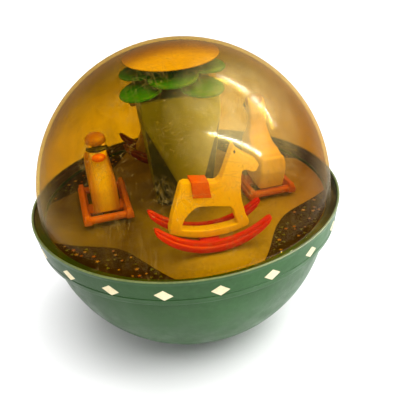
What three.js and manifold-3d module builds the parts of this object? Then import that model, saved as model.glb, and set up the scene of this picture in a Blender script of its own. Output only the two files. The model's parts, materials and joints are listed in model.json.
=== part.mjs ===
// Roly-poly chime ball: a clear dome over a ring of rocking horses and swans round a tree,
// and a weighted bowl below it with a four-rod chime. Millimetres, +Z up, origin at the
// middle of the small flat that the ball stands on.
import * as THREE from "three";
import { ConvexGeometry } from "three/addons/geometries/ConvexGeometry.js";
import { mergeVertices } from "three/addons/utils/BufferGeometryUtils.js";
import Module from "manifold-3d";

const wasm = await Module();
wasm.setup();

// ---- driving dimensions ----
const GAP = 0.3; // between pieces that touch
const ROUND_STEPS = 40; // segments round the big turned shells

const DOME = { radius: 72, centre: 80, wall: 1.6, flange: 2 };
const BOWL = { radius: 71, centre: 70, wall: 2.2, floor: 2.4 };
const BAND = { top: 76.3, topRadius: 76.5, foot: 62.9, footRadius: 74.3, lip: 1.2 };
const DECK = { top: 72.5, thickness: 2, radius: 70 };
const SCREW_BORE = 2.3;
const SCREW_RADIUS = 2;

const HORSE_RADIUS = 45; // from the tree's axis to each horse
const SWAN_RADIUS = 40; // and to each swan
const HORSE_LEAN = 5; // degrees, both horses hang plumb while the ball leans towards -X
const PIN = { depth: 4, radius: 1, length: 12 }; // depth below the deck's upper face
const STEM = { width: 6, thickness: 3, top: 1.5, foot: -20 };
const SLOT = { length: 8.2, width: 4.2 };
const LUG = { length: 8, width: 2.2, drop: 8, offset: 4.3 };
const WEIGHT = { radius: 8, length: 12, depth: 24, socket: 4.3 };
const SWAN_LEAN = -5; // degrees, the right swan rests tipped towards its tail
const HORSE_WIDTH = 5;
const SWAN_WIDTH = { head: 8.4, breast: 12.6 };
const RUNNER = { width: 4, clearance: 1, height: 5.2 };
const HORSE_RUNNER = { spacing: 16.2, under: 31.5, over: 37, rear: -25.6, front: 25.6 };
const SWAN_RUNNER = { spacing: 20, under: 60, over: 64, rear: -19, front: 15.5 };

const TRUNK = { shoulder: 124, height: 132.6, collar: 136, wall: 2 };
const TRUNK_FOOT = { radius: 15, turn: 7 }; // of the square's corners
const TRUNK_TOP = { radius: 25.4, turn: 42 };
const LOWER_LEAVES = { centre: 138.3, drop: 4, reach: 29, lobe: 10, hub: 11, turn: 30, collar: 140.7 };
const UPPER_LEAVES = { centre: 143, drop: 3, reach: 24.5, lobe: 11.5, hub: 12, turn: -10, collar: 145.2 };
const LEAF_THICKNESS = 2;
const COLLAR_RADIUS = 6;
const CAP = { radius: 22, under: 145.5, rim: 1.6 };
const SPIGOT = { radius: 3, depth: 7 }; // under the cap, through the leaves into the trunk

const BALLAST = { top: 14, bore: 6.4 };
const BOSS = { radius: 6, top: 12 };
const CHIME_PLATE = { under: 18, thickness: 1.5, radius: 24 };
const CHIME_ROD = { circle: 17, radius: 1.1, lengths: [39, 34, 29, 24] };
const STRIKER = { pivot: 60, drop: 3, ball: 38, ballRadius: 6, rod: 1.1 };
const HANGER = { plate: 1.2, length: 18, width: 6, ear: 1.2 };
const YOKE = { width: 6, height: 9 };

// ---- materials ----
const finish = (color, roughness, metalness = 0, extra = {}) =>
  new THREE.MeshStandardMaterial({ color, roughness, metalness, ...extra });
const AMBER_CLEAR = finish(0xc98a2a, 0.12, 0, { transparent: true, opacity: 0.35 });
const GREEN_SHELL = finish(0x3e6a44, 0.4);
const DECK_BROWN = finish(0x7a5a1e, 0.6);
const TRUNK_GREEN = finish(0x6f7030, 0.55);
const LEAF_GREEN = finish(0x3f7a3c, 0.5);
const CAP_YELLOW = finish(0xe0a020, 0.45);
const FIGURE_YELLOW = finish(0xe8b41c, 0.45);
const SADDLE_RED = finish(0xd0401c, 0.5);
const RUNNER_RED = finish(0xc82a14, 0.4);
const RUNNER_ORANGE = finish(0xd8701c, 0.45);
const STEM_WHITE = finish(0xd8d4c4, 0.5);
const STEEL = finish(0xa8a8a4, 0.35, 1);
const CAST_IRON = finish(0x55534f, 0.7, 1);
const BRASS = finish(0xb08d44, 0.35, 1);
const RUBBER = finish(0x2a2a28, 0.9);

// ---- solids ----
const radians = THREE.MathUtils.degToRad;
const degrees = THREE.MathUtils.radToDeg;

function solid(geometry) {
  const bare = geometry.clone();
  bare.deleteAttribute("normal");
  bare.deleteAttribute("uv");
  const merged = mergeVertices(bare, 1e-4);
  return new wasm.Manifold(
    new wasm.Mesh({
      numProp: 3,
      vertProperties: merged.attributes.position.array,
      triVerts: new Uint32Array(merged.index.array),
    }),
  );
}

function geometryOf(manifold) {
  const mesh = manifold.getMesh();
  const geometry = new THREE.BufferGeometry();
  geometry.setAttribute("position", new THREE.BufferAttribute(mesh.vertProperties, 3));
  geometry.setIndex(new THREE.BufferAttribute(mesh.triVerts, 1));
  geometry.computeVertexNormals();
  return geometry;
}

// A body turned round +Z from a profile of [radius, height] points, outer side first.
function turned(profile, steps) {
  const points = profile.map(([r, z]) => new THREE.Vector2(r, z));
  return solid(new THREE.LatheGeometry(points, steps).rotateX(Math.PI / 2));
}

// A turned ring or tube of square section.
function ring(inner, outer, from, to, steps = 24) {
  const corners = [
    [inner, from],
    [outer, from],
    [outer, to],
    [inner, to],
    [inner, from],
  ];
  return turned(corners, steps);
}

// Points [radius, height] on a circle round the axis, between two angles above the horizontal.
function arc(radius, centre, from, to, steps) {
  return Array.from({ length: steps + 1 }, (_, i) => {
    const a = radians(from + ((to - from) * i) / steps);
    const onAxis = Math.abs(Math.cos(a)) < 1e-9;
    return [onAxis ? 0 : radius * Math.cos(a), centre + radius * Math.sin(a)];
  });
}

function block(width, depth, height, x = 0, y = 0, z = 0) {
  return solid(new THREE.BoxGeometry(width, depth, height).translate(x, y, z));
}

// Round bars, centred on a point: along Y, along X, and upright.
function barY(radius, length, x, y, z, steps = 12) {
  return solid(new THREE.CylinderGeometry(radius, radius, length, steps).translate(x, y, z));
}

function barX(radius, length, x, y, z, steps = 12) {
  const bar = new THREE.CylinderGeometry(radius, radius, length, steps).rotateZ(Math.PI / 2);
  return solid(bar.translate(x, y, z));
}

function barZ(radius, from, to, x = 0, y = 0, steps = 12) {
  const bar = new THREE.CylinderGeometry(radius, radius, to - from, steps).rotateX(Math.PI / 2);
  return solid(bar.translate(x, y, (from + to) / 2));
}

// An outline of [x, z] points given thickness along Y, centred on y.
function slab(outline, thickness, y = 0, holes = []) {
  const shape = new THREE.Shape(outline.map(([x, z]) => new THREE.Vector2(x, z)));
  shape.holes = holes.map((hole) => new THREE.Path(hole.map(([x, z]) => new THREE.Vector2(x, z))));
  const geometry = new THREE.ExtrudeGeometry(shape, { depth: thickness, bevelEnabled: false });
  return solid(geometry.translate(0, 0, -y - thickness / 2).rotateX(Math.PI / 2));
}

// An outline of [y, z] points given length along X, centred on X = 0.
function prism(outline, length) {
  const shape = new THREE.Shape(outline.map(([y, z]) => new THREE.Vector2(y, z)));
  const geometry = new THREE.ExtrudeGeometry(shape, { depth: length, bevelEnabled: false });
  return solid(geometry.translate(0, 0, -length / 2).rotateX(Math.PI / 2).rotateZ(Math.PI / 2));
}

const group = new THREE.Group();
group.name = "roly_poly_chime_ball";

function piece(name, manifold, material, parent = group) {
  const mesh = new THREE.Mesh(geometryOf(manifold), material);
  mesh.name = name;
  parent.add(mesh);
}

// ---- shells and deck ----
const DOME_INNER = DOME.radius - DOME.wall;
const FLANGE_TOP = BAND.top - 0.5;
const FLANGE_UNDER = FLANGE_TOP - DOME.flange;

function makeDome() {
  const edge = BAND.topRadius - BAND.lip - GAP;
  return turned(
    [
      ...arc(DOME_INNER, DOME.centre, 90, 0, 11),
      [DOME_INNER, FLANGE_UNDER],
      [edge, FLANGE_UNDER],
      [edge, FLANGE_TOP],
      [DOME.radius, FLANGE_TOP],
      ...arc(DOME.radius, DOME.centre, 0, 90, 11),
    ],
    ROUND_STEPS,
  );
}

// The angle below the bowl's centre at which its sphere reaches a height.
function below(radius, height) {
  return degrees(Math.asin((height - BOWL.centre) / radius));
}

function makeBowl() {
  const inner = BOWL.radius - BOWL.wall;
  const lipInner = BAND.topRadius - BAND.lip;
  const seat = FLANGE_UNDER - GAP;
  const deckHole = DECK.radius + 0.4;
  const ledge = DECK.top - DECK.thickness - GAP;
  return turned(
    [
      [0, 0],
      ...arc(BOWL.radius, BOWL.centre, below(BOWL.radius, 0), below(BOWL.radius, BAND.foot), 9),
      [BAND.footRadius, BAND.foot],
      [BAND.topRadius, BAND.top - 1],
      [BAND.topRadius - 0.4, BAND.top],
      [lipInner, BAND.top],
      [lipInner, seat],
      [deckHole, seat],
      [deckHole, ledge],
      [DECK.radius - 3, ledge],
      ...arc(inner, BOWL.centre, below(inner, 58), below(inner, BOWL.floor), 8),
      [BOSS.radius, BOWL.floor],
      [BOSS.radius, BOSS.top],
      [SCREW_BORE, BOSS.top],
      [SCREW_BORE, 3],
      [0, 3],
    ],
    ROUND_STEPS,
  );
}

// The floor of the scene, with a slot and two pierced lugs under each rocking figure.
function makeDeck() {
  const under = DECK.top - DECK.thickness;
  let deck = ring(SCREW_BORE, DECK.radius, under, DECK.top, ROUND_STEPS);
  const lugHeight = LUG.drop - DECK.thickness + 0.5;
  for (let i = 0; i < 4; i++) {
    const radius = i % 2 ? SWAN_RADIUS : HORSE_RADIUS;
    const place = (geometry) => solid(geometry.rotateZ(radians(90 * i)));
    for (const side of [-1, 1]) {
      const lug = new THREE.BoxGeometry(LUG.length, LUG.width, lugHeight);
      const y = -radius + side * LUG.offset;
      lug.translate(0, y, DECK.top - LUG.drop + lugHeight / 2);
      deck = deck.add(place(lug));
    }
    const slot = new THREE.BoxGeometry(SLOT.length, SLOT.width, 8);
    deck = deck.subtract(place(slot.translate(0, -radius, DECK.top)));
    const hole = new THREE.CylinderGeometry(PIN.radius + GAP, PIN.radius + GAP, 20, 12);
    deck = deck.subtract(place(hole.translate(0, -radius, DECK.top - PIN.depth)));
  }
  return deck;
}

// ---- tree in the middle ----
// Square at the foot and at the shoulder, but turned by about 35 degrees between the two, so that
// its sides are long triangles that point up and down by turns. Inset makes the smaller hull inside.
function trunkHull(from, height, inset) {
  const corners = ({ radius, turn }, z) =>
    [0, 1, 2, 3].map((i) => {
      const a = radians(90 * i + turn);
      return new THREE.Vector3((radius - inset) * Math.cos(a), (radius - inset) * Math.sin(a), z);
    });
  return solid(
    new ConvexGeometry([
      ...corners(TRUNK_FOOT, from),
      ...corners(TRUNK_TOP, TRUNK.shoulder),
      ...corners(TRUNK_TOP, height),
    ]),
  );
}

function makeTrunk() {
  const { height, collar, wall } = TRUNK;
  const from = DECK.top + GAP;
  const outside = trunkHull(from, height, 0);
  const inside = trunkHull(from - 1, height - wall, 1.5 * wall);
  const post = barZ(COLLAR_RADIUS, from, collar);
  const bore = barZ(SCREW_BORE, from - 1, from + 24);
  const socket = barZ(SPIGOT.radius + GAP, collar - SPIGOT.depth - 1, collar + 1);
  return outside.subtract(inside).add(post).subtract(bore).subtract(socket);
}

// Four round leaves, joined over the tree and sloping down to their tips.
function makeLeaves({ centre, drop, reach, lobe, hub, turn, collar }) {
  const slope = (r) => centre - drop * (r / reach) ** 2;
  const radii = [0, 0.35, 0.6, 0.8, 1, 1.1].map((share) => share * reach);
  const under = radii.map((r) => [r, slope(r) - LEAF_THICKNESS]);
  const over = radii.map((r) => [r, slope(r)]).reverse();
  const umbrella = turned([...under, ...over], 32);
  let outline = barZ(hub, centre - 20, centre + 5, 0, 0, 24);
  for (let i = 0; i < 4; i++) {
    const a = radians(90 * i + turn);
    const x = (reach - lobe) * Math.cos(a);
    const y = (reach - lobe) * Math.sin(a);
    outline = outline.add(barZ(lobe, centre - 20, centre + 5, x, y, 20));
  }
  return umbrella
    .intersect(outline)
    .add(barZ(COLLAR_RADIUS, centre - 1, collar, 0, 0, 16))
    .subtract(barZ(SPIGOT.radius + GAP, centre - 10, centre + 10));
}

// The round top of the tree, under the crown of the dome.
function makeCap() {
  const over = DOME_INNER - 0.5;
  const rimAngle = degrees(Math.acos(CAP.radius / over));
  const spigotFoot = TRUNK.collar - SPIGOT.depth;
  return turned(
    [
      [0, spigotFoot],
      [SPIGOT.radius, spigotFoot],
      [SPIGOT.radius, CAP.under],
      [CAP.radius - CAP.rim, CAP.under],
      [CAP.radius, CAP.under + CAP.rim / 2],
      ...arc(over, DOME.centre, rimAngle, 90, 5),
    ],
    32,
  );
}

// ---- rocking figures, facing +X, with z = 0 on the deck's upper face ----
const FIGURE_HEIGHT = 54;
const SADDLE = { rear: [-8.9, 32.3], front: [-1.2, 31.6], rearFoot: [-8, 25.4], frontFoot: [0.2, 24.8] };

// Points of an arc that hangs below its centre, between two values of x.
function hangingArc(radius, lowest, from, to, steps = 12) {
  return Array.from({ length: steps + 1 }, (_, i) => {
    const x = from + ((to - from) * i) / steps;
    return [x, lowest + radius - Math.sqrt(radius ** 2 - x ** 2)];
  });
}

// Two curved runners and the bar that carries the stem; a swan's has bars at its ends too.
function makeRunners({ spacing, under, over, rear, front }, endBars) {
  const outline = [
    ...hangingArc(under, RUNNER.clearance, rear, front),
    ...hangingArc(over, RUNNER.clearance + RUNNER.height, front, rear),
  ];
  const bar = (x, z) => block(endBars && x ? 3 : 9, spacing, 2.5, x, 0, z);
  const y = spacing / 2;
  let runners = slab(outline, RUNNER.width, -y).add(slab(outline, RUNNER.width, y));
  runners = runners.add(bar(0, STEM.top + GAP + 1.25));
  for (const x of endBars ? [rear + 2.5, front - 2.5] : []) {
    const z = RUNNER.clearance + 2 + under - Math.sqrt(under ** 2 - x ** 2);
    runners = runners.add(bar(x, z));
  }
  return runners;
}

// A flat horse that stands between the runners, on the bar that joins them.
function makeHorse() {
  const side = [
    [-18, 9.6],
    [-17.6, 12],
    [-17.1, 16.2],
    [-15.8, 21],
    [-14.4, 26.5],
    [-13.4, 30.6],
    [-12.7, 32],
    [-11.2, 32.6],
    SADDLE.rear,
    SADDLE.front,
    [2.4, 31.2],
    [4.4, 32.6],
    [5.4, 35.4],
    [6.8, 39.8],
    [8.2, 44.4],
    [9.4, 48.4],
    [11, 45.6],
    [13.6, 43.6],
    [20, 39.6],
    [21.2, 37.4],
    [20.2, 34.8],
    [18.2, 34.4],
    [15.6, 35.8],
    [13.6, 35.4],
    [13.5, 30],
    [13.6, 25.6],
    [14.3, 21],
    [16, 14.9],
    [17.8, 10],
    [13.2, 9],
    [11.4, 13.2],
    [10.4, 17],
    [9, 18.8],
    [2, 19.8],
    [-4.2, 20.4],
    [-6.8, 19.8],
    [-9.3, 17.7],
    [-11.5, 14.6],
    [-13, 10],
  ];
  const bar = { lowest: 4.6, under: 42, top: 8.4, over: 50 };
  const footBar = [
    ...hangingArc(bar.under, bar.lowest, -18, 17.8),
    ...hangingArc(bar.over, bar.top, 17.8, -18),
  ];
  return slab(side, HORSE_WIDTH).add(slab(footBar, HORSE_WIDTH));
}

// A thin blanket over the horse's back and a little way down its sides.
function makeSaddle() {
  const { rear, front, rearFoot, frontFoot } = SADDLE;
  const wall = 0.7;
  const width = HORSE_WIDTH + 2 * GAP;
  const profile = (lift, past, drop) => [
    [rearFoot[0] - past, rearFoot[1] - drop],
    [frontFoot[0] + past, frontFoot[1] - drop],
    [front[0] + past, front[1] + lift],
    [rear[0] - past, rear[1] + lift],
  ];
  return slab(profile(GAP + wall, 0, 0), width + 2 * wall).subtract(slab(profile(GAP, 1, 1), width));
}

// A swan that is narrow at the head and broader at the breast, standing between its runners.
function makeSwan() {
  const side = [
    ...hangingArc(SWAN_RUNNER.over, 5.1, -16, 11, 6),
    [12, 12],
    [12.4, 18.4],
    [11, 24.4],
    [8, 30.6],
    [8.2, 36.2],
    [10.6, 37.4],
    [14.6, 36],
    [15, 37.6],
    [10.8, 43],
    [7.2, 45.6],
    [4, 44],
    [2.4, 39.2],
    [3.2, 32.6],
    [1.4, 27.4],
    [-3, 25.4],
    [-9, 26],
    [-14, 24.5],
    [-19, 26.5],
    [-19.8, 18],
    [-17.4, 11],
  ];
  const head = SWAN_WIDTH.head / 2;
  const breast = SWAN_WIDTH.breast / 2;
  const section = [
    [head, FIGURE_HEIGHT],
    [-head, FIGURE_HEIGHT],
    [-head, 33],
    [-breast, 22],
    [-breast, 0],
    [breast, 0],
    [breast, 22],
    [head, 33],
  ];
  return slab(side, 2 * SWAN_WIDTH.breast).intersect(prism(section, 60));
}

function makeStem() {
  const height = STEM.top - STEM.foot;
  const plate = block(STEM.width, STEM.thickness, height, 0, 0, (STEM.top + STEM.foot) / 2);
  return plate.subtract(barY(PIN.radius + GAP, 10, 0, 0, -PIN.depth));
}

function makeWeight() {
  const top = -WEIGHT.depth + WEIGHT.radius;
  const socket = block(STEM.width + 0.6, STEM.thickness + 0.6, 10, 0, 0, top - WEIGHT.socket + 5);
  return barY(WEIGHT.radius, WEIGHT.length, 0, 0, -WEIGHT.depth, 20).subtract(socket);
}

// Places the pieces of one figure: turned about the tree, then tilted about its pin.
function placeFigure(name, radius, turn, lean, parts) {
  const place = new THREE.Group();
  place.rotation.z = radians(turn);
  group.add(place);
  const spot = new THREE.Group();
  spot.position.set(0, -radius, DECK.top - PIN.depth);
  place.add(spot);
  const tilted = new THREE.Group();
  tilted.rotation.y = radians(lean);
  spot.add(tilted);
  const rocking = new THREE.Group();
  rocking.position.z = PIN.depth;
  tilted.add(rocking);
  for (const [part, make, material] of parts) {
    piece(name + "_" + part, make(), material, rocking);
  }
  piece(name + "_stem", makeStem(), STEM_WHITE, rocking);
  piece(name + "_weight", makeWeight(), STEEL, rocking);
  piece(name + "_pin", barY(PIN.radius, PIN.length, 0, 0, 0), STEEL, spot);
}

const HORSE_PARTS = [
  ["body", makeHorse, FIGURE_YELLOW],
  ["saddle", makeSaddle, SADDLE_RED],
  ["runners", () => makeRunners(HORSE_RUNNER, false), RUNNER_RED],
];
const SWAN_PARTS = [
  ["body", makeSwan, FIGURE_YELLOW],
  ["runners", () => makeRunners(SWAN_RUNNER, true), RUNNER_ORANGE],
];

// ---- chime below the deck ----
function makeBallast() {
  const radius = BOWL.radius - BOWL.wall - 0.4;
  const under = BOWL.floor + 0.4;
  return turned(
    [
      [BALLAST.bore, under],
      ...arc(radius, BOWL.centre, below(radius, under), below(radius, BALLAST.top), 6),
      [BALLAST.bore, BALLAST.top],
      [BALLAST.bore, under],
    ],
    36,
  );
}

// A pan-headed screw that stands or hangs: head at one end, round shank to the other.
function makeScrew(headZ, tipZ, headRadius = 4, headHeight = 2.2) {
  const up = Math.sign(tipZ - headZ);
  const head = headZ - up * headHeight;
  const shank = barZ(SCREW_RADIUS, Math.min(headZ, tipZ) - 0.1, Math.max(headZ, tipZ) + 0.1);
  return shank.add(barZ(headRadius, Math.min(headZ, head), Math.max(headZ, head), 0, 0, 16));
}

const HANGER_TOP = DECK.top - DECK.thickness - GAP;
const EAR_X = YOKE.width / 2 + GAP + HANGER.ear / 2;

// A folded bracket under the deck: a plate with two ears that hold the striker's upper pin.
function makeHanger() {
  const earFoot = STRIKER.pivot - 3;
  const plateZ = HANGER_TOP - HANGER.plate / 2;
  const earHeight = HANGER_TOP - earFoot;
  let hanger = block(HANGER.length, HANGER.width, HANGER.plate, 0, 0, plateZ);
  for (const x of [-EAR_X, EAR_X]) {
    hanger = hanger.add(block(HANGER.ear, HANGER.width, earHeight, x, 0, earFoot + earHeight / 2));
  }
  return hanger
    .subtract(barZ(SCREW_BORE, HANGER_TOP - 3, HANGER_TOP + 1))
    .subtract(barX(PIN.radius + GAP, 30, 0, 0, STRIKER.pivot));
}

// The block that lets the striker swing both ways, on two crossed pins.
function makeYoke() {
  return block(YOKE.width, YOKE.width, YOKE.height, 0, 0, STRIKER.pivot - STRIKER.drop / 2)
    .subtract(barX(PIN.radius + GAP, 12, 0, 0, STRIKER.pivot))
    .subtract(barY(PIN.radius + GAP, 12, 0, 0, STRIKER.pivot - STRIKER.drop));
}

// A fork that straddles the yoke, with the rod that the ball is pressed on.
function makeArm() {
  const pinZ = STRIKER.pivot - STRIKER.drop;
  const bridge = block(5, YOKE.width + 3, 1.2, 0, 0, pinZ - 5.4);
  const cheekY = YOKE.width / 2 + GAP + 0.6;
  let arm = bridge.add(barZ(STRIKER.rod, STRIKER.ball + GAP, pinZ - 5.4));
  for (const y of [-cheekY, cheekY]) {
    arm = arm.add(block(5, 1.2, 8, 0, y, pinZ - 2));
  }
  return arm.subtract(barY(PIN.radius + GAP, 12, 0, 0, pinZ));
}

function makeBall() {
  const { ball, ballRadius, rod } = STRIKER;
  const bore = rod + GAP;
  const mouth = degrees(Math.acos(bore / ballRadius));
  return turned([...arc(ballRadius, ball, -90, mouth, 9), [bore, ball], [0, ball]], 16);
}

function makeChime() {
  const plateTop = CHIME_PLATE.under + CHIME_PLATE.thickness;
  const pinZ = STRIKER.pivot - STRIKER.drop;
  const crossPin = 2 * EAR_X + HANGER.ear + 0.6;
  piece("ballast", makeBallast(), CAST_IRON);
  piece("chime_bush", ring(SCREW_BORE, 8, BALLAST.top + GAP, CHIME_PLATE.under - GAP), RUBBER);
  piece("chime_plate", ring(SCREW_BORE, CHIME_PLATE.radius, CHIME_PLATE.under, plateTop), STEEL);
  piece("ballast_screw", makeScrew(plateTop + GAP, 3 + GAP), STEEL);
  CHIME_ROD.lengths.forEach((length, i) => {
    const x = CHIME_ROD.circle * Math.cos(radians(90 * i));
    const y = CHIME_ROD.circle * Math.sin(radians(90 * i));
    const foot = plateTop + GAP;
    piece("chime_rod_" + (i + 1), barZ(CHIME_ROD.radius, foot, foot + length, x, y), STEEL);
  });
  piece("striker_hanger", makeHanger(), STEEL);
  piece("striker_upper_pin", barX(PIN.radius, crossPin, 0, 0, STRIKER.pivot), STEEL);
  piece("striker_yoke", makeYoke(), BRASS);
  piece("striker_lower_pin", barY(PIN.radius, crossPin, 0, 0, pinZ), STEEL);
  piece("striker_arm", makeArm(), STEEL);
  piece("striker_ball", makeBall(), BRASS);
}

// ---- assembly ----
piece("dome", makeDome(), AMBER_CLEAR);
piece("bowl", makeBowl(), GREEN_SHELL);
piece("deck", makeDeck(), DECK_BROWN);
piece("trunk", makeTrunk(), TRUNK_GREEN);
piece("lower_leaves", makeLeaves(LOWER_LEAVES), LEAF_GREEN);
piece("upper_leaves", makeLeaves(UPPER_LEAVES), LEAF_GREEN);
piece("cap", makeCap(), CAP_YELLOW);
piece("trunk_screw", makeScrew(HANGER_TOP - HANGER.plate - GAP, DECK.top + 22, 2.9), STEEL);
placeFigure("front_horse", HORSE_RADIUS, 0, HORSE_LEAN, HORSE_PARTS);
placeFigure("right_swan", SWAN_RADIUS, 90, SWAN_LEAN, SWAN_PARTS);
placeFigure("rear_horse", HORSE_RADIUS, 180, -HORSE_LEAN, HORSE_PARTS);
placeFigure("left_swan", SWAN_RADIUS, 270, 0, SWAN_PARTS);
makeChime();

export default group;
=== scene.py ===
"""Roly-poly chime ball: the looks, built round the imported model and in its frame, in metres.

The camera stands in front of the front horse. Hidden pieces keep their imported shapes.
"""

import json
import math
import random

import bmesh
import bpy
from mathutils import Matrix, Vector

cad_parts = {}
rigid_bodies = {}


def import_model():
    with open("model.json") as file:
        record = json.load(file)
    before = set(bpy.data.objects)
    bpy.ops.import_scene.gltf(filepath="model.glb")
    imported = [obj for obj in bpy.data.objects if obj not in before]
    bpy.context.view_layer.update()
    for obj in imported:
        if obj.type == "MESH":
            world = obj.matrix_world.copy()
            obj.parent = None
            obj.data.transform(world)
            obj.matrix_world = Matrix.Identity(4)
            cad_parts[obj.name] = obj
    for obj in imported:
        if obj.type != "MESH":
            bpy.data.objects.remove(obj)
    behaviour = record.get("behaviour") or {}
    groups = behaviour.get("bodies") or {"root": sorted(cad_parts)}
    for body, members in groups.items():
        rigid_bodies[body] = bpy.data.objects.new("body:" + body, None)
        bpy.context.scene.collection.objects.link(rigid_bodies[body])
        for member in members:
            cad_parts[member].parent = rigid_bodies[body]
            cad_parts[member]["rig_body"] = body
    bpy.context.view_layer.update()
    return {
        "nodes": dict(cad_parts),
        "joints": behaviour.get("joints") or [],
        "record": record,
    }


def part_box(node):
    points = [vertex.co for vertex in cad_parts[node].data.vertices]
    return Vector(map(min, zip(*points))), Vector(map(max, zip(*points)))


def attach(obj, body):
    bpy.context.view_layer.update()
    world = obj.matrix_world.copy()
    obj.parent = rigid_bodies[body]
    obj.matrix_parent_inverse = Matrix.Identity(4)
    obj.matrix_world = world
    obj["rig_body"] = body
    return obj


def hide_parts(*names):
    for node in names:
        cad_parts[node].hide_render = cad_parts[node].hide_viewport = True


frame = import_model()
NODES = frame["nodes"]
ROOT = "ball"
MM = 0.001

# Each rocking figure: its kind, the way it faces and its lean forwards at rest, both in degrees.
FIGURES = {
    "front_horse": ("horse", 0, 5),
    "rear_horse": ("horse", 180, -5),
    "right_swan": ("swan", 90, -5),
    "left_swan": ("swan", 270, 0),
}
JOINTS = {joint["child"]: joint for joint in frame["joints"]}

# Radii and heights of the dome, the deck and the bowl with its band.
DOME_RADIUS = 72 * MM
DOME_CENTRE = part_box("dome")[1].z - DOME_RADIUS
DOME_WALL = 1.6 * MM
DECK_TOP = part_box("deck")[1].z
BOWL_RADIUS = 71 * MM
BOWL_CENTRE = 70 * MM
BAND_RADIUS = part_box("bowl")[1].x
BAND_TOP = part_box("bowl")[1].z
BAND_FOOT_RADIUS = 74.3 * MM
BAND_FOOT = 62.9 * MM

# Where the dome carries a painted glow, a broad highlight, on its front right shoulder, and the middle of the
# painted shadow round the foot of the tree.
GLOW_SPOT = (19 * MM, -44 * MM, 129 * MM)
SHADOW_SPOT = (-8 * MM, 4 * MM, DECK_TOP)

# The camera, fitted to the photograph. It is rolled because the ball leans there.
CAMERA_SPOT = (-0.0497, -0.2817, 0.2322)
CAMERA_TARGET = (0.00716, -0.00126, 0.06996)
CAMERA_ROLL = -5.25
CAMERA_LENS = 58.17
CAMERA_SENSOR = 36.0

# The middle of the ball, which the lights face, and the floor's half side.
LIGHT_TARGET = (0, 0, 0.08)
FLOOR_REACH = 1.1


# ---- materials ----
def colour(red, green, blue):
    """A screen colour, 0 to 255, as the linear colour that shaders take."""

    def linear(value):
        share = value / 255
        if share <= 0.04045:
            return share / 12.92
        return ((share + 0.055) / 1.055) ** 2.4

    return (linear(red), linear(green), linear(blue), 1.0)


class Look:
    """A node material being put together. Patterns are laid out in the object's own frame."""

    def __init__(self, name):
        self.material = bpy.data.materials.new(name)
        self.material.use_nodes = True
        self.tree = self.material.node_tree
        self.shader = self.tree.nodes["Principled BSDF"]
        self.output = self.tree.nodes["Material Output"]
        self.place = self.tree.nodes.new("ShaderNodeTexCoord").outputs["Object"]

    def node(self, kind, inputs=None, **settings):
        made = self.tree.nodes.new(kind)
        for key, value in settings.items():
            setattr(made, key, value)
        for key, value in (inputs or {}).items():
            self.feed(made.inputs[key], value)
        return made

    def feed(self, socket, value):
        if isinstance(value, bpy.types.NodeSocket):
            self.tree.links.new(value, socket)
        else:
            socket.default_value = value

    def set(self, **values):
        for key, value in values.items():
            self.feed(self.shader.inputs[key.replace("_", " ")], value)

    def along(self, axis):
        """The place along one axis, in metres."""
        return self.node("ShaderNodeSeparateXYZ", {"Vector": self.place}).outputs[axis]

    def distance(self, spot):
        """The distance from a spot, in metres."""
        inputs = {0: self.place, 1: spot}
        return self.node("ShaderNodeVectorMath", inputs, operation="DISTANCE").outputs["Value"]

    def noise(self, scale, detail=3.0, roughness=0.55, stretch=None):
        where = self.place
        if stretch:
            mapping = self.node("ShaderNodeMapping", {"Vector": where, "Scale": stretch})
            where = mapping.outputs["Vector"]
        return self.node(
            "ShaderNodeTexNoise",
            {"Vector": where, "Scale": scale, "Detail": detail, "Roughness": roughness},
        ).outputs["Fac"]

    def ramp(self, value, low, high, start=0.0, end=1.0):
        """value taken from low..high to start..end, held at both ends."""
        return self.node(
            "ShaderNodeMapRange",
            {"Value": value, "From Min": low, "From Max": high, "To Min": start, "To Max": end},
        ).outputs["Result"]

    def math(self, operation, first, second=0.0):
        made = self.node("ShaderNodeMath", operation=operation)
        self.feed(made.inputs[0], first)
        self.feed(made.inputs[1], second)
        return made.outputs[0]

    def times(self, first, second):
        return self.math("MULTIPLY", first, second)

    def larger(self, first, second):
        return self.math("MAXIMUM", first, second)

    def mix(self, share, first, second):
        made = self.node("ShaderNodeMix", data_type="RGBA")
        self.feed(made.inputs["Factor"], share)
        self.feed(made.inputs["A"], first)
        self.feed(made.inputs["B"], second)
        return made.outputs["Result"]

    def blend(self, share, first, second):
        """Two shaders mixed, with a share of the second."""
        return self.node("ShaderNodeMixShader", {0: share, 1: first, 2: second}).outputs[0]

    def bump(self, height, distance, strength=1.0):
        inputs = {"Height": height, "Distance": distance, "Strength": strength}
        return self.node("ShaderNodeBump", inputs).outputs["Normal"]

    def scratches(self, scale, amount=0.06):
        """Thin lines in three directions: where a stretched noise crosses its middle value."""
        lines = []
        for stretch in [(1.0, 0.05, 0.4), (0.08, 1.0, 0.3), (0.5, 0.4, 0.06)]:
            wave = self.noise(scale, 2.0, 0.5, stretch)
            away = self.math("ABSOLUTE", self.math("SUBTRACT", wave, 0.5))
            lines.append(self.ramp(away, 0.0, amount * 0.12, 1.0, 0.0))
        return self.larger(self.larger(lines[0], lines[1]), lines[2])

    def paint_shade(self, share, shade_colour):
        """Mixes a second, darker colour over the look's own by a share, as painted shade."""
        own = self.shader.inputs["Base Color"].links[0].from_socket
        self.set(Base_Color=self.mix(share, own, shade_colour))

    def fade(self, axis, start, end, most, shade_colour):
        """Turns the look into a second, darker colour along an axis, up to a share, as painted shade."""
        self.paint_shade(self.ramp(self.along(axis), start, end, 0.0, most), shade_colour)


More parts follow.
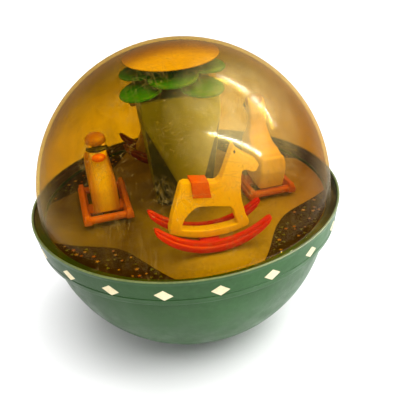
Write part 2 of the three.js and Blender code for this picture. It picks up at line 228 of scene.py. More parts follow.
def plastic(name, base, dark, light, roughness, grain=60.0, gloss=0.25):
    """Old moulded plastic: three tones, dark specks, fine scratches and a slightly uneven skin."""
    look = Look(name)
    broad = look.ramp(look.noise(grain, 4.0), 0.3, 0.7)
    fine = look.ramp(look.noise(grain * 14, 3.0), 0.35, 0.75)
    tone = look.mix(broad, dark, base)
    tone = look.mix(look.times(fine, 0.35), tone, light)
    specks = look.ramp(look.noise(grain * 40, 2.0), 0.68, 0.74)
    tone = look.mix(look.times(specks, 0.5), tone, dark)
    worn = look.scratches(grain * 12)
    tone = look.mix(look.times(worn, 0.05), tone, light)
    rough = look.ramp(look.noise(grain * 3, 4.0), 0.3, 0.7, roughness - 0.08, roughness + 0.14)
    skin = look.math("ADD", look.noise(grain * 6, 3.0), look.times(worn, -0.5))
    look.set(Base_Color=tone, Roughness=rough, Normal=look.bump(skin, 0.04 * MM))
    look.set(Specular_IOR_Level=gloss)
    return look


def metal(name, base, dark, roughness, grain=400.0, stretch=(1.0, 1.0, 0.06)):
    """Plain metal with drawing marks, dull patches and a little tarnish."""
    look = Look(name)
    marks = look.noise(grain, 3.0, 0.6, stretch)
    patches = look.ramp(look.noise(70.0, 4.0), 0.35, 0.7)
    tone = look.mix(patches, dark, base)
    rough = look.ramp(marks, 0.3, 0.7, roughness - 0.08, roughness + 0.15)
    look.set(Base_Color=tone, Metallic=1.0, Roughness=rough, Normal=look.bump(marks, 0.03 * MM))
    return look


class Amber(Look):
    """The dome's thin clear plastic, tinted by age, dusty and scratched, with a painted broad highlight on
    its shoulder and painted shade at its crown and right.
    """

    def __init__(self):
        super().__init__("amber_clear")
        self.cloud = self.noise(22.0, 5.0, 0.6)
        self.streaks = self.ramp(self.noise(110.0, 5.0, 0.6, (1.0, 1.0, 0.14)), 0.38, 0.62)
        self.right = self.ramp(self.along("X"), 30 * MM, 64 * MM)
        self.rear = self.ramp(self.along("Y"), -12 * MM, 25 * MM)
        self.crown = self.times(self.rear, self.ramp(self.along("Z"), 96 * MM, 126 * MM))
        self.edge = self.node("ShaderNodeLayerWeight", {"Blend": 0.5}).outputs["Facing"]
        self.grazing = self.ramp(self.edge, 0.55, 1.0)
        inputs = {"Color": self.tint()}
        clear = self.node("ShaderNodeBsdfTransparent", inputs).outputs[0]
        body = self.blend(self.marks(), clear, self.film())
        body = self.blend(self.bloom(), body, self.glow_film())
        self.feed(self.output.inputs["Surface"], self.blend(self.mirror(), body, self.gloss()))

    def tint(self):
        """The light that one wall lets through: most in front, less behind and in dark blotches behind, and
        least at the crown and right, where the darker tint is painted shade.
        """
        front = (0.93, 0.84, 0.1, 1.0)
        # Painted shade: the wall's tint darker towards the right, also behind.
        front_right_shaded = (0.7, 0.51, 0.07, 1.0)
        behind = (0.735, 0.53, 0.045, 1.0)
        behind_darker = (0.58, 0.4, 0.045, 1.0)
        # Painted shade: a darker tint at the crown of the rear wall.
        shaded_crown = (0.3, 0.23, 0.05, 1.0)
        slanting = (0.6, 0.42, 0.16, 1.0)
        clouded = (0.74, 0.6, 0.12, 1.0)
        blotches_and_shade = self.ramp(self.noise(30.0, 4.0, 0.6), 0.4, 0.6, 0.2, 0.8)
        blotches_and_shade = self.larger(self.times(blotches_and_shade, self.streaks), self.right)
        front_tint = self.mix(self.right, front, front_right_shaded)
        rear_tint = self.mix(blotches_and_shade, behind, behind_darker)
        tint = self.mix(self.rear, front_tint, rear_tint)
        tint = self.mix(self.times(self.crown, 0.9), tint, shaded_crown)
        tint = self.mix(self.grazing, tint, slanting)
        return self.mix(self.ramp(self.cloud, 0.35, 0.7, 0.0, 0.3), tint, clouded)

    def marks(self):
        """How much of the wall is under dust, scratches, haze behind and film at its outline."""
        dust = self.ramp(self.noise(560.0, 2.0), 0.67, 0.72)
        worn = self.larger(self.scratches(240.0, 0.08), self.scratches(120.0, 0.03))
        worn = self.times(worn, self.ramp(self.noise(60.0, 3.0), 0.4, 0.65))
        worn = self.times(worn, self.ramp(self.rear, 0.0, 1.0, 0.2, 0.06))
        haze = self.times(self.math("SUBTRACT", self.rear, self.crown), 0.1)
        outline = self.math("POWER", self.grazing, 2.0)
        outline = self.times(outline, self.ramp(self.right, 0.0, 1.0, 0.24, 0.08))
        total = self.math("ADD", self.times(dust, 0.2), worn)
        return self.math("ADD", self.math("ADD", total, haze), outline)

    def film(self):
        tone = self.mix(self.cloud, (0.34, 0.2, 0.04, 1.0), (0.46, 0.3, 0.08, 1.0))
        return self.node("ShaderNodeBsdfDiffuse", {"Color": tone}).outputs[0]

    def bloom(self):
        """How much of the wall carries a pale film that paints a broad highlight, streaky and strongest at
        one spot.
        """
        near = self.ramp(self.distance(GLOW_SPOT), 6 * MM, 34 * MM, 0.16, 0.0)
        return self.times(near, self.ramp(self.streaks, 0.0, 1.0, 0.5, 1.4))

    def glow_film(self):
        # A pale film that paints the broad highlight.
        inputs = {"Color": (0.66, 0.54, 0.28, 1.0)}
        return self.node("ShaderNodeBsdfDiffuse", inputs).outputs[0]

    def mirror(self):
        """How much the wall reflects: little, and more at its outline."""
        share = self.ramp(self.math("POWER", self.edge, 5.0), 0.0, 1.0, 0.004, 0.22)
        return self.times(share, self.ramp(self.rear, 0.0, 1.0, 1.0, 0.4))

    def gloss(self):
        """Sharp highlights with a soft glow round them, on a slightly rippled skin."""
        ripple = self.bump(self.noise(24.0, 2.0), 0.5 * MM, 0.14)
        layers = []
        for roughness in (0.07, 0.36):
            inputs = {"Color": (1.0, 0.94, 0.76, 1.0), "Roughness": roughness, "Normal": ripple}
            layers.append(self.node("ShaderNodeBsdfGlossy", inputs).outputs[0])
        return self.blend(0.5, layers[0], layers[1])


# Each plastic's base, dark and light tones and roughness, then its grain and gloss if they are not the usual.
PLASTICS = {
    "green_shell": (colour(46, 94, 42), colour(35, 74, 32), colour(66, 112, 62), 0.36, 30.0, 0.24),
    "band_edge": (colour(92, 104, 54), colour(70, 82, 40), colour(128, 136, 84), 0.45),
    "deck_path": (colour(172, 150, 52), colour(140, 120, 34), colour(192, 172, 78), 0.5, 45.0, 0.12),
    "deck_bed": (colour(38, 17, 4), colour(22, 9, 2), colour(60, 32, 10), 0.55, 120.0, 0.1),
    "trunk_olive": (colour(194, 198, 92), colour(172, 178, 74), colour(210, 212, 116), 0.5, 40.0, 0.12),
    "trunk_dark": (colour(52, 56, 20), colour(38, 42, 14), colour(74, 78, 34), 0.5, 40.0, 0.1),
    "leaf_green": (colour(46, 126, 84), colour(34, 104, 66), colour(70, 146, 104), 0.5, 50.0, 0.12),
    "cap_yellow": (colour(214, 176, 22), colour(190, 148, 14), colour(236, 198, 60), 0.4, 30.0, 0.12),
    "figure_yellow": (colour(250, 214, 34), colour(240, 190, 18), colour(254, 226, 76), 0.36, 50.0, 0.14),
    "swan_yellow": (colour(250, 214, 34), colour(240, 190, 18), colour(254, 226, 76), 0.4, 50.0, 0.14),
    "saddle_red": (colour(222, 88, 30), colour(196, 66, 20), colour(236, 128, 66), 0.42, 80.0),
    "runner_red": (colour(214, 30, 4), colour(186, 20, 3), colour(222, 52, 12), 0.34, 60.0, 0.12),
    "runner_orange": (colour(212, 112, 16), colour(188, 88, 8), colour(226, 138, 38), 0.38, 60.0, 0.12),
    "beak_orange": (colour(230, 110, 20), colour(206, 86, 12), colour(244, 150, 70), 0.4, 80.0),
    "mask_dark": (colour(40, 28, 16), colour(24, 16, 8), colour(76, 60, 40), 0.5, 90.0),
    "crown_brown": (colour(176, 106, 30), colour(146, 84, 20), colour(206, 146, 70), 0.45, 90.0),
    "blossom_yellow": (colour(180, 132, 28), colour(146, 98, 16), colour(206, 164, 60), 0.5, 200.0),
    "blossom_orange": (colour(164, 88, 22), colour(134, 64, 14), colour(190, 120, 50), 0.5, 200.0),
    "sprig_green": (colour(98, 108, 40), colour(70, 82, 26), colour(136, 144, 72), 0.55, 200.0),
    "mark_cream": (colour(228, 214, 174), colour(200, 184, 140), colour(240, 230, 204), 0.5, 90.0),
    "stem_white": (colour(214, 208, 186), colour(190, 182, 156), colour(228, 224, 208), 0.5, 80.0),
    "rubber": ((0.03, 0.03, 0.03, 1.0), (0.018, 0.018, 0.018, 1.0), (0.06, 0.06, 0.06, 1.0), 0.8),
}

# Each metal's bright and tarnished tones and roughness, then its grain and the way that is drawn out.
METALS = {
    "steel": ((0.56, 0.56, 0.54, 1.0), (0.4, 0.39, 0.37, 1.0), 0.32),
    "cast_iron": ((0.14, 0.135, 0.13, 1.0), (0.08, 0.075, 0.07, 1.0), 0.62, 260.0, (1.0, 1.0, 1.0)),
    "brass": ((0.66, 0.47, 0.2, 1.0), (0.44, 0.3, 0.12, 1.0), 0.3, 500.0, (0.1, 0.1, 1.0)),
}


def shaded_paths(look):
    """Painted shade on the deck: darker at the left, away from the light, and a painted shadow round the foot
    of the tree, in patches.
    """
    left = look.ramp(look.along("X"), -4 * MM, -32 * MM)
    foot = look.ramp(look.distance(SHADOW_SPOT), 34 * MM, 16 * MM)
    patchy = look.ramp(look.noise(50.0, 4.0), 0.3, 0.65, 0.6, 0.95)
    look.paint_shade(look.times(look.larger(left, foot), patchy), colour(74, 54, 8))


def shaded_swan_flanks(look):
    """Painted shade on the left swan: orange brown on its flanks, leaving only a stripe of yellow down its
    middle.
    """
    across = look.along("X")
    flank = look.math("ABSOLUTE", look.math("ADD", across, 40 * MM))
    flank = look.ramp(flank, 1.6 * MM, 4.8 * MM, 0.15, 0.85)
    at_left = look.ramp(across, 0.0, -8 * MM)
    look.paint_shade(look.times(flank, at_left), colour(178, 100, 18))


LOOKS = {name: plastic(name, *tones) for name, tones in PLASTICS.items()}
LOOKS.update({name: metal(name, *tones) for name, tones in METALS.items()})
LOOKS["amber_clear"] = Amber()
# Painted shade: the bowl darker towards its left, away from the light.
LOOKS["green_shell"].fade("X", 60 * MM, -50 * MM, 0.75, colour(24, 50, 8))
# Painted shade: the trunk's olive darker towards its left, away from the light.
LOOKS["trunk_olive"].fade("X", 12 * MM, -10 * MM, 0.9, colour(90, 88, 28))
# Painted shade: the horses' yellow and the red runners darker towards the back, where the rear horse stands
# in shade.
LOOKS["figure_yellow"].fade("Y", 20 * MM, 36 * MM, 0.6, colour(120, 84, 10))
LOOKS["runner_red"].fade("Y", 20 * MM, 36 * MM, 0.8, colour(70, 34, 8))
# Painted shade and shadow on the deck paths.
shaded_paths(LOOKS["deck_path"])
# Painted shade on the left swan's flanks.
shaded_swan_flanks(LOOKS["swan_yellow"])


# ---- mesh helpers ----
def piece(name, mesh, looks, body=ROOT, slot=None, stands_for=(), smooth=True):
    """A mesh as a piece that rides on a body. looks are material names, the first for every face."""
    for look in [looks] if isinstance(looks, str) else looks:
        mesh.materials.append(LOOKS[look].material)
    for polygon in mesh.polygons:
        polygon.use_smooth = smooth
    made = bpy.data.objects.new(name, mesh)
    bpy.context.scene.collection.objects.link(made)
    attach(made, body)
    if stands_for:
        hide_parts(*stands_for)
    return made


def shape(name, verts, faces, looks, **facts):
    """A piece made of points and faces, with its faces turned outwards."""
    mesh = bpy.data.meshes.new(name)
    mesh.from_pydata([tuple(v) for v in verts], [], faces)
    mesh.validate()
    work = bmesh.new()
    work.from_mesh(mesh)
    bmesh.ops.recalc_face_normals(work, faces=work.faces)
    work.to_mesh(mesh)
    work.free()
    return piece(name, mesh, looks, **facts)


def apply_modifiers(made):
    """Puts the result of an object's modifiers into its mesh."""
    depsgraph = bpy.context.evaluated_depsgraph_get()
    mesh = bpy.data.meshes.new_from_object(made.evaluated_get(depsgraph))
    made.modifiers.clear()
    made.data = mesh


def crease(made, angle=30.0):
    """Smooth shading that stops at edges sharper than the angle, in degrees."""
    made.data.set_sharp_from_angle(angle=math.radians(angle))


def arc(radius, centre, start, end, steps):
    """Profile points on a circle round the axis, between two angles above the horizontal."""
    points = []
    for i in range(steps + 1):
        angle = math.radians(start + (end - start) * i / steps)
        points.append((max(radius * math.cos(angle), 0.0), centre + radius * math.sin(angle)))
    return points


def rounded(profile, radius):
    """A closed profile with its marked corners rounded. Points are (r, z) or (r, z, True)."""
    steps = 4
    points = []
    count = len(profile)
    for i, point in enumerate(profile):
        here = Vector(point[:2])
        if len(point) == 2:
            points.append(tuple(here))
            continue
        before = Vector(profile[i - 1][:2])
        after = Vector(profile[(i + 1) % count][:2])
        reach = min(radius, (before - here).length * 0.45, (after - here).length * 0.45)
        start = here + (before - here).normalized() * reach
        end = here + (after - here).normalized() * reach
        for step in range(steps + 1):
            t = step / steps
            points.append(tuple(start * (1 - t) ** 2 + here * 2 * t * (1 - t) + end * t**2))
    return points


def joined(rings):
    """Faces between neighbouring rings of point numbers. A pole is one number repeated."""
    faces = []
    for ring, other in zip(rings, rings[1:]):
        for i in range(len(ring)):
            j = (i + 1) % len(ring)
            corners = list(dict.fromkeys([ring[i], ring[j], other[j], other[i]]))
            if len(corners) > 2:
                faces.append(corners)
    return faces


def add_tube(verts, faces, rings):
    """Adds a closed body to a mesh: rings of points, joined in a row and capped at both ends."""
    base = len(verts)
    count = len(rings[0])
    numbers = [list(range(base + k * count, base + (k + 1) * count)) for k in range(len(rings))]
    for ring in rings:
        verts.extend(ring)
    faces.extend(joined(numbers))
    faces.append(numbers[0][::-1])
    faces.append(numbers[-1])


def on_circle(radius, angle, height):
    """A point at a radius and an angle in radians round the axis, at a height."""
    return (radius * math.cos(angle), radius * math.sin(angle), height)


def lathe(name, profile, looks, segments, **facts):
    """A closed body turned round Z from a closed profile of (radius, height) points."""
    verts = []
    rings = []
    for radius, height in profile:
        if radius < 1e-7:
            rings.append([len(verts)] * segments)
            verts.append((0.0, 0.0, height))
            continue
        rings.append(list(range(len(verts), len(verts) + segments)))
        verts.extend(on_circle(radius, 2 * math.pi * i / segments, height) for i in range(segments))
    made = shape(name, verts, joined(rings + rings[:1]), looks, **facts)
    crease(made)
    return made


# ---- shells ----
def make_dome():
    """The clear half shell, with a thin flange round its foot."""
    inner = DOME_RADIUS - DOME_WALL
    low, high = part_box("dome")
    edge = high.x
    under = low.z
    over = under + 2 * MM
    profile = [
        *arc(inner, DOME_CENTRE, 90, 0, 48),
        (inner, under, True),
        (edge, under, True),
        (edge, over, True),
        (DOME_RADIUS + 0.2 * MM, over, True),
        *arc(DOME_RADIUS, DOME_CENTRE, 0, 90, 48),
    ]
    profile = rounded(profile, 0.5 * MM)
    lathe("dome_shell", profile, "amber_clear", 192, slot="amber_clear", stands_for=["dome"])


def below(radius, height):
    """The angle in degrees at which a sphere round the bowl's centre reaches a height."""
    return math.degrees(math.asin((height - BOWL_CENTRE) / radius))


def band_radius(height):
    """The outer radius of the band, which widens upwards, at a height."""
    slope = (BAND_RADIUS - BAND_FOOT_RADIUS) / (BAND_TOP - BAND_FOOT)
    return BAND_FOOT_RADIUS + slope * (height - BAND_FOOT)


def make_bowl():
    """The green shell: its band with a groove and a lip, the deck's seat, and the ballast's boss."""
    inner = BOWL_RADIUS - 2.2 * MM
    groove = 66.2 * MM
    lip_inner = 75.3 * MM
    seat = 73.5 * MM
    deck_hole = 70.4 * MM
    ledge = 70.2 * MM
    ledge_inner = 67.0 * MM
    wall_top = 58 * MM
    floor = 2.4 * MM
    boss_radius = 6.0 * MM
    boss_top = 12.0 * MM
    bore_radius = 2.3 * MM
    bore_foot = 3.0 * MM
    edge_tone = BAND_TOP - 0.75 * MM

    def band(height, proud=0.0):
        return (band_radius(height) + proud, height)

    profile = [
        (0.0, 0.0),
        *arc(BOWL_RADIUS, BOWL_CENTRE, below(BOWL_RADIUS, 0.0), below(BOWL_RADIUS, BAND_FOOT - 0.4 * MM), 60),
        (BAND_FOOT_RADIUS - 0.9 * MM, BAND_FOOT - 0.3 * MM, True),
        (*band(BAND_FOOT + 0.3 * MM), True),
        band(groove - 0.9 * MM),
        band(groove - 0.5 * MM, 0.05 * MM),
        band(groove, -0.28 * MM),
        band(groove + 0.5 * MM, 0.05 * MM),
        band(groove + 0.9 * MM),
        band(BAND_TOP - 2.4 * MM),
        band(BAND_TOP - 2.0 * MM, -0.1 * MM),
        band(BAND_TOP - 1.6 * MM),
        (*band(BAND_TOP), True),
        (lip_inner, BAND_TOP, True),
        (lip_inner, seat),
        (deck_hole, seat),
        (deck_hole, ledge),
        (ledge_inner, ledge),
        *arc(inner, BOWL_CENTRE, below(inner, wall_top), below(inner, floor), 40),
        (boss_radius, floor),
        (boss_radius, boss_top),
        (bore_radius, boss_top),
        (bore_radius, bore_foot),
        (0.0, bore_foot),
    ]
    profile = rounded(profile, 0.5 * MM)
    looks = ["green_shell", "band_edge"]
    made = lathe("bowl_shell", profile, looks, 192, slot="green_shell", stands_for=["bowl"])
    for polygon in made.data.polygons:
        if polygon.center.z > edge_tone:
            polygon.material_index = 1


def make_band_marks():
    """Cream diamonds printed round the band."""
    count = 20
    first = math.radians(-92)
    half_width = 4.1 * MM / BAND_RADIUS
    half_height = 2.9 * MM
    middle = BAND_TOP - 7.4 * MM
    front, back = 0.06 * MM, -0.3 * MM
    steps = 6
    verts = []
    faces = []
    for k in range(count):
        centre = first + 2 * math.pi * k / count
        rings = []
        for i in range(-steps, steps + 1):
            share = i / steps
            angle = centre + share * half_width
            tall = half_height * (1 - abs(share)) + 0.02 * MM
            slant = share * 0.3 * MM
            low, high = middle - tall - slant, middle + tall - slant
            corners = [(low, front), (high, front), (high, back), (low, back)]
            rings.append([on_circle(band_radius(z) + proud, angle, z) for z, proud in corners])
        add_tube(verts, faces, rings)
    shape("band_marks", verts, faces, "mark_cream", slot="green_shell", smooth=False)


# ---- deck print ----
BED_COUNT = 4
BED_HALF_ANGLE = 29.0
BED_DEPTH = 17 * MM
BED_TIPS = 69.6 * MM
BED_RIM = 69.7 * MM


def bed_edge(offset):
    """The radius of a flower bed's inner edge, at an angle in degrees from its diagonal."""
    deep = BED_DEPTH * max(math.cos(math.radians(90 * offset / BED_HALF_ANGLE)), 0.0)
    return BED_TIPS - deep


def bed_angle(k, offset):
    """The angle round the deck, at an angle in degrees from a bed's diagonal."""
    return math.radians(45 + 90 * k + offset)


def make_beds():
    """Dark flower beds, as thin inlays between the paths and the rim."""
    steps = 28
    ripple = 0.5 * MM
    low, high = DECK_TOP - 0.1 * MM, DECK_TOP + 0.12 * MM
    verts = []
    faces = []
    for k in range(BED_COUNT):
        rings = []
        for i in range(steps + 1):
            share = 2 * i / steps - 1
            offset = BED_HALF_ANGLE * share
            angle = bed_angle(k, offset)
            wave = ripple * math.sin(9 * angle + k)
            inner = bed_edge(offset) + wave * (1 - abs(share))
            corners = [(inner, low), (inner, high), (BED_RIM, high), (BED_RIM, low)]
            rings.append([on_circle(radius, angle, height) for radius, height in corners])
        add_tube(verts, faces, rings)
    shape("flower_beds", verts, faces, "deck_bed", slot="deck_brown", smooth=False)


def strew_flowers():
    """Each flower's place, size and turn, by kind, spread over the beds with gaps between them."""
    per_bed = 30
    gap = 1.9 * MM
    margin = 1.6 * MM
    outermost = 68.4 * MM
    chance = random.Random(11)
    kinds = {"blossom_yellow": [], "blossom_orange": [], "sprig_green": []}
    choices = ["blossom_yellow", "blossom_yellow", "blossom_orange", "sprig_green", "sprig_green"]
    for k in range(BED_COUNT):
        placed = []
        while len(placed) < per_bed:
            offset = chance.uniform(-0.86, 0.86) * BED_HALF_ANGLE
            innermost = bed_edge(offset) + margin
            if outermost - innermost < 1 * MM:
                continue
            radius = chance.uniform(innermost, outermost)
            spot = Vector(on_circle(radius, bed_angle(k, offset), 0.0))
            if any((spot - other).length < gap for other in placed):
                continue
            placed.append(spot)
            kind = chance.choice(choices)
            size = chance.uniform(0.5, 1.15) * MM
            kinds[kind].append((spot, size, chance.uniform(0, math.pi)))
    return kinds


def make_flowers():
    """Small five-petalled blossoms and three-leaved sprigs, printed a little proud of the beds."""
    low, high = DECK_TOP + 0.05 * MM, DECK_TOP + 0.3 * MM
    for kind, flowers in strew_flowers().items():
        petals = 3 if kind == "sprig_green" else 5
        count = petals * 4
        verts = []
        faces = []
        for spot, size, turn in flowers:
            outline = []
            for i in range(count):
                away = 2 * math.pi * i / count
                reach = size * (0.62 + 0.38 * math.cos(petals * away))
                outline.append(spot + Vector(on_circle(reach, turn + away, 0.0)))
            rings = [[(point.x, point.y, height) for point in outline] for height in (low, high)]
            add_tube(verts, faces, rings)
        shape(kind + "_print", verts, faces, kind, slot="deck_brown", smooth=False)


# ---- tree ----
def make_trunk():
    """A square post, twisted on its way up, so that its sides are long triangles."""
    low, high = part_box("trunk")
    foot_radius, foot_turn = 15 * MM, 7
    head_radius, head_turn = 25.4 * MM, 42
    shoulder = 124 * MM
    top = 132.6 * MM
    made = bmesh.new()
    for radius, height, turn in [
        (foot_radius, low.z, foot_turn),
        (head_radius, shoulder, head_turn),
        (head_radius, top, head_turn),
    ]:
        for i in range(4):
            made.verts.new(on_circle(radius, math.radians(90 * i + turn), height))
    bmesh.ops.convex_hull(made, input=made.verts)
    flat = math.radians(1)
    bmesh.ops.dissolve_limit(made, angle_limit=flat, verts=made.verts, edges=made.edges)
    for face in made.faces:
        sideways = abs(face.normal.z) < 0.9
        diagonal = min(abs(face.normal.x), abs(face.normal.y)) > 0.3
        face.material_index = 1 if sideways and diagonal else 0
    bmesh.ops.bevel(
        made, geom=made.edges[:], offset=0.9 * MM, segments=4, profile=0.5, affect="EDGES", clamp_overlap=True
    )
    mesh = bpy.data.meshes.new("tree_trunk")
    made.to_mesh(mesh)
    made.free()
    looks = ["trunk_olive", "trunk_dark"]
    post = piece("tree_trunk", mesh, looks, slot="trunk_olive", stands_for=["trunk"])
    crease(post, 40)
    collar_radius = 6 * MM
    collar_foot = top - 1 * MM
    collar = [
        (0.0, collar_foot),
        (collar_radius, collar_foot),
        (collar_radius, high.z, True),
        (0.0, high.z),
    ]
    lathe("tree_collar", rounded(collar, 0.4 * MM), "trunk_olive", 48, slot="trunk_olive")


def leaf_outline(reach, lobe, hub, turn, sectors):
    """The radius of a leaf sheet round the tree: four round lobes, with the notches softened."""
    middle = reach - lobe

    def radius(angle):
        best = hub
        for k in range(4):
            away = angle - math.radians(90 * k + turn)
            off = middle * math.sin(away)
            if abs(off) < lobe:
                best = max(best, middle * math.cos(away) + math.sqrt(lobe**2 - off**2))
        return best

    soft = [radius(2 * math.pi * i / sectors) for i in range(sectors)]
    for _ in range(3):
        soft = [(soft[i - 1] + 2 * soft[i] + soft[(i + 1) % sectors]) / 4 for i in range(sectors)]
    return soft


def make_leaves(name, node, centre, drop, reach, lobe, hub, turn):
    """Four round lobes in one drooping sheet, with a soft rim. turn is in degrees."""
    sectors = 240
    thickness = 2 * MM
    puff = 0.35 * MM
    outline = leaf_outline(reach, lobe, hub, turn, sectors)
    # The upper half of the sheet's section: share of the radius, share of the thickness below the top.
    flat = [(share, 0.0) for share in (0.0, 0.3, 0.55, 0.75, 0.88)]
    upper = [*flat, (0.95, 0.06), (0.985, 0.2), (1.0, 0.5)]
    lower = [(share, 1 - depth) for share, depth in reversed(upper[:-1])]

    def point(share, depth, i):
        angle = 2 * math.pi * i / sectors
        radius = outline[i] * share
        lobes = math.cos(4 * (angle - math.radians(turn)))
        swell = puff * lobes * (share**2) * (1 - share**6)
        height = centre - drop * (radius / reach) ** 2 - depth * thickness
        return on_circle(radius, angle, height + swell)

    verts = []
    rings = []
    for share, depth in upper + lower:
        if share == 0.0:
            rings.append([len(verts)] * sectors)
            verts.append(point(0.0, depth, 0))
            continue
        rings.append(list(range(len(verts), len(verts) + sectors)))
        verts.extend(point(share, depth, i) for i in range(sectors))
    shape(name, verts, joined(rings), "leaf_green", slot="leaf_green", stands_for=[node])


def make_cap():
    """The yellow cap, whose top follows the inside of the dome."""
    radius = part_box("cap")[1].x
    over = DOME_RADIUS - DOME_WALL - 0.5 * MM
    under = 145.5 * MM
    rim = math.degrees(math.acos(radius / over))
    profile = [
        (0.0, under),
        (radius - 2.0 * MM, under, True),
        (radius - 0.3 * MM, under + 0.3 * MM, True),
        (radius, under + 0.8 * MM, True),
        *arc(over, DOME_CENTRE, rim, 90, 24),
    ]
    profile = rounded(profile, 0.6 * MM)
    lathe("tree_cap", profile, "cap_yellow", 120, slot="cap_yellow", stands_for=["cap"])


# ---- rocking figures ----
def moulded(node, name, look, slot, voxel=0.42 * MM, passes=5):
    """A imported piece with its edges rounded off, as they leave a mould."""
    mesh = NODES[node].data.copy()
    mesh.materials.clear()
    made = piece(name, mesh, look, NODES[node]["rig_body"], slot, [node])
    remesh = made.modifiers.new("remesh", "REMESH")
    remesh.mode = "VOXEL"
    remesh.voxel_size = voxel
    remesh.use_smooth_shade = True
    smooth = made.modifiers.new("smooth", "SMOOTH")
    smooth.factor = 0.5
    smooth.iterations = passes
    thin = made.modifiers.new("thin", "DECIMATE")
    thin.ratio = 0.4
    apply_modifiers(made)
    for polygon in made.data.polygons:
        polygon.use_smooth = True


def figure_frame(figure):
    """The matrix from a figure's own frame (x forward, y inward, z up from the deck) to the object's."""
    _, turn, lean = FIGURES[figure]
    pin = Vector(JOINTS[figure]["pos_m"])
    return (
        Matrix.Translation(pin)
        @ Matrix.Rotation(math.radians(turn), 4, "Z")
        @ Matrix.Rotation(math.radians(lean), 4, "Y")
        @ Matrix.Translation((0, 0, DECK_TOP - pin.z))
    )


# A rocker's section, as shares of its width and height: a foot, then a narrower ridge on top.
ROCKER_SECTION = [
    (-0.5, 0.1), (-0.36, 0.0), (0.36, 0.0), (0.5, 0.1), (0.5, 0.5), (0.44, 0.6), (0.3, 0.64),
    (0.3, 0.92), (0.22, 1.0), (-0.22, 1.0), (-0.3, 0.92), (-0.3, 0.64), (-0.44, 0.6), (-0.5, 0.5),
]
ROCKER_CLEARANCE = 1 * MM
ROCKER_HEIGHT = 5.2 * MM
ROCKER_WIDTH = 4 * MM


def rise(radius, x):
    """How far a circle that lies on the ground has risen at a distance from its lowest point."""
    return radius - math.sqrt(radius**2 - x**2)


def rocker_rings(y_middle, under, over, rear, front):
    """Sections along one rocker, curved to two radii and tapered at its ends."""
    steps = 40
    rings = []
    for i in range(steps + 1):
        share = 2 * i / steps - 1
        x = rear + (front - rear) * i / steps
        low = ROCKER_CLEARANCE + rise(under, x)
        high = ROCKER_CLEARANCE + ROCKER_HEIGHT + rise(over, x)
        middle = (low + high) / 2
        lean = math.atan2(x, under)
        taper = min(1.0, math.sqrt(max(1 - abs(share) ** 14, 0.0)) + 0.45)
        ring = []
        for across, up in ROCKER_SECTION:
            off = (low + (high - low) * up - middle) * taper
            y = y_middle + across * ROCKER_WIDTH * (0.55 + 0.45 * taper)
            ring.append((x - off * math.sin(lean) * 0.6, y, middle + off))
        rings.append(ring)
    return rings


def bar_rings(x, width, height, z, reach):
    """Both ends of a bar across the rockers, with a section between an oval and a rectangle."""
    count = 12
    section = []
    for k in range(count):
        cos, sin = math.cos(2 * math.pi * k / count), math.sin(2 * math.pi * k / count)
        squarish = (abs(cos) ** 4 + abs(sin) ** 4) ** -0.25
        section.append((x + width / 2 * cos * squarish, z + height / 2 * sin * squarish))
    return [[(across, y, up) for across, up in section] for y in (-reach, reach)]


def make_runners(figure, look, spacing, under, over, rear, front, end_bars):
    """Two curved rockers, spacing apart, joined by a bar in the middle and perhaps at both ends."""
    verts = []
    faces = []
    for side in (-1, 1):
        add_tube(verts, faces, rocker_rings(side * spacing / 2, under, over, rear, front))
    # Each bar's place along the rockers, its width and height, and the height of its middle.
    bars = [(0.0, 9 * MM, 2.5 * MM, 3.05 * MM)]
    for x in [rear + 2.5 * MM, front - 2.5 * MM] if end_bars else []:
        bars.append((x, 3.4 * MM, 3.2 * MM, ROCKER_CLEARANCE + 2 * MM + rise(under, x)))
    for bar in bars:
        add_tube(verts, faces, bar_rings(*bar, spacing / 2 + 1.4 * MM))
    place = figure_frame(figure)
    made = shape(
        figure + "_rockers",
        [place @ Vector(v) for v in verts],
        faces,
        look,
        body=figure,
        slot=look,
        stands_for=[figure + "_runners"],
    )
    crease(made, 50)


def blob(figure, label, centre, size, look):
    """A small rounded lump on a figure, with its centre and half sizes in mm on the figure's axes."""
    place = figure_frame(figure)
    rows = 8
    sectors = 14
    verts = []
    rings = []
    for i in range(rows + 1):
        tilt = math.pi * i / rows
        start = len(verts)
        if i in (0, rows):
            rings.append([start] * sectors)
            units = [(0.0, 0.0, math.cos(tilt))]
        else:
            rings.append(list(range(start, start + sectors)))
            turns = [2 * math.pi * k / sectors for k in range(sectors)]
            units = [on_circle(math.sin(tilt), turn, math.cos(tilt)) for turn in turns]
        for unit in units:
            local = Vector([middle + half * share for middle, half, share in zip(centre, size, unit)])
            verts.append(place @ (local * MM))
    shape(f"{figure}_{label}", verts, joined(rings), look, body=figure, slot="figure_yellow")


def make_horse(figure):
    moulded(figure + "_body", figure + "_figure", "figure_yellow", "figure_yellow")
    moulded(figure + "_saddle", figure + "_blanket", "saddle_red", "saddle_red", 0.22 * MM, 2)
    for side, label in ((-1, "eye_near"), (1, "eye_far")):
        blob(figure, label, centre=(9.9, side * 2.4, 44.8), size=(0.5, 0.35, 0.9), look="mask_dark")
    make_runners(
        figure,
        "runner_red",
        spacing=16.2 * MM,
        under=31.5 * MM,
        over=37 * MM,
        rear=-25.6 * MM,
        front=25.6 * MM,
        end_bars=False,
    )


def make_swan(figure):
    moulded(figure + "_body", figure + "_figure", "swan_yellow", "figure_yellow", 0.6 * MM, 24)
    blob(figure, "beak", centre=(13.9, 0, 36.6), size=(3.2, 3.4, 2.1), look="beak_orange")
    blob(figure, "mask", centre=(11.4, 0, 40.0), size=(3.5, 5.1, 1.5), look="mask_dark")
    blob(figure, "crown", centre=(8.4, 0, 43.0), size=(4.8, 4.9, 3.4), look="crown_brown")
    make_runners(
        figure,
        "runner_orange",
        spacing=20 * MM,
        under=60 * MM,
        over=64 * MM,
        rear=-19 * MM,
        front=15.5 * MM,
        end_bars=True,
    )


